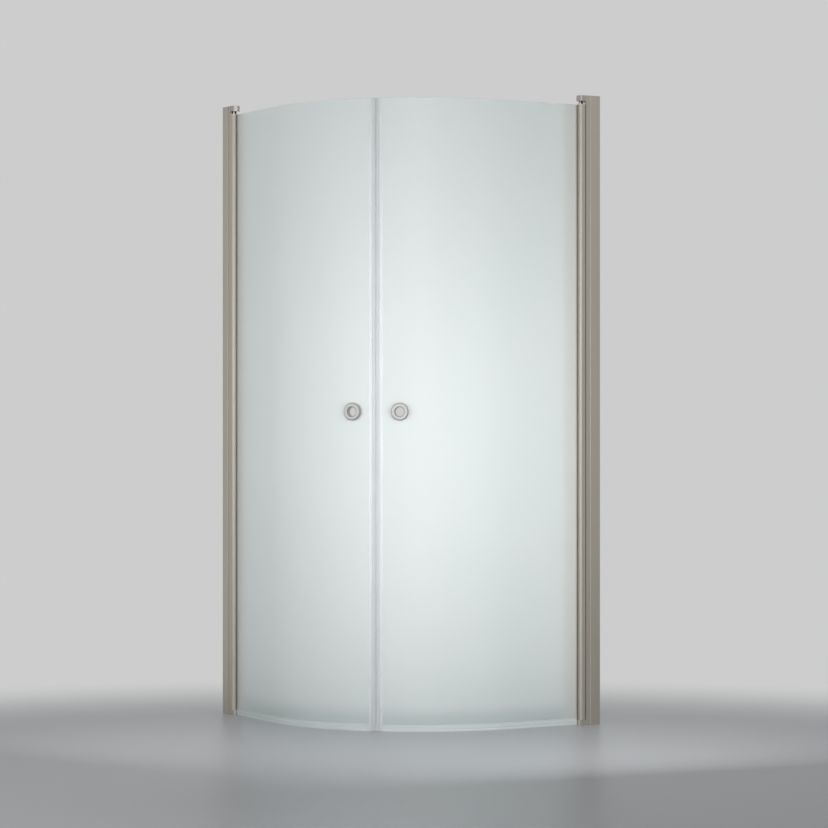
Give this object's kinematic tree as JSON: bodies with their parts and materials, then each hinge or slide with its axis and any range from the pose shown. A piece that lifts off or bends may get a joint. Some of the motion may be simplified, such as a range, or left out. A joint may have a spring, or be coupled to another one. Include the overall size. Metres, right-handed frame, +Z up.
{
  "type": "corner shower screen",
  "caption": "Quarter-round corner shower screen with curved satin glass doors on self-lifting wall hinges, ring finger pulls, magnet seals and bottom sweeps.",
  "frame": {"origin": "corner of the room at floor level, where the left wall and the right wall meet", "axes": "+Z up; +Y is the normal into the left wall, which is the plane Y = 0; +X is the normal into the right wall, which is the plane X = 0; the screen stands at negative X and Y"},
  "size_m": [0.898, 0.898, 2],
  "materials": {
    "bronze_aluminium": "brushed, champagne grey anodised",
    "satin_block": "satin cast",
    "satin_glass": "acid etched satin",
    "clear_seal": "translucent soft",
    "magnet": "matt",
    "black_rubber": "matt",
    "black_nylon": "matt",
    "white_nylon": "matt",
    "grey_plastic": "matt",
    "stainless": "brushed",
    "satin_knob": "satin"
  },
  "bodies": {
    "frame": {"left_wall_channel": "bronze_aluminium", "left_channel_end_cap": "grey_plastic", "left_post_profile": "bronze_aluminium", "left_clamp_screws": "stainless", "left_screw_caps": "grey_plastic", "left_block_screws": "stainless", "left_top_block": "satin_block", "left_top_sleeve": "black_nylon", "left_bottom_block": "bronze_aluminium", "left_bottom_pin": "stainless", "left_lift_cam": "white_nylon", "right_wall_channel": "bronze_aluminium", "right_channel_end_cap": "grey_plastic", "right_post_profile": "bronze_aluminium", "right_clamp_screws": "stainless", "right_screw_caps": "grey_plastic", "right_block_screws": "stainless", "right_top_block": "satin_block", "right_top_sleeve": "black_nylon", "right_bottom_block": "bronze_aluminium", "right_bottom_pin": "stainless", "right_lift_cam": "white_nylon"},
    "left_lift_pin": {"left_top_pin": "stainless"},
    "left_door": {"left_top_bush": "white_nylon", "left_top_crown": "satin_block", "left_cam_follower": "white_nylon", "left_hinge_tube": "bronze_aluminium", "left_glass_gasket": "black_rubber", "left_glass": "satin_glass", "left_knob_outer_ring": "satin_knob", "left_knob_inner_ring": "satin_knob", "left_knob_washers": "clear_seal", "left_magnet_seal": "clear_seal", "left_magnet_strip": "magnet", "left_bottom_sweep": "clear_seal"},
    "right_lift_pin": {"right_top_pin": "stainless"},
    "right_door": {"right_top_bush": "white_nylon", "right_top_crown": "satin_block", "right_cam_follower": "white_nylon", "right_hinge_tube": "bronze_aluminium", "right_glass_gasket": "black_rubber", "right_glass": "satin_glass", "right_knob_outer_ring": "satin_knob", "right_knob_inner_ring": "satin_knob", "right_knob_washers": "clear_seal", "right_magnet_seal": "clear_seal", "right_magnet_strip": "magnet", "right_bottom_sweep": "clear_seal"}
  },
  "joints": [
    {"name": "left_rise", "type": "slide", "parent": "frame", "child": "left_lift_pin", "axis": [0, 0, 1], "range_m": [0, 0.00475]},
    {"name": "left_swing", "type": "hinge", "parent": "left_lift_pin", "child": "left_door", "pos_m": [-0.8855, -0.0635, 1], "axis": [0, 0, -1], "range_deg": [0, 90]},
    {"name": "right_rise", "type": "slide", "parent": "frame", "child": "right_lift_pin", "axis": [0, 0, 1], "range_m": [0, 0.00475]},
    {"name": "right_swing", "type": "hinge", "parent": "right_lift_pin", "child": "right_door", "pos_m": [-0.0635, -0.8855, 1], "axis": [0, 0, 1], "range_deg": [0, 90]}
  ],
  "couplings": [
    {"joint": "left_rise", "follows": "left_swing", "m_per_rad": 0.003},
    {"joint": "right_rise", "follows": "right_swing", "m_per_rad": 0.003}
  ]
}
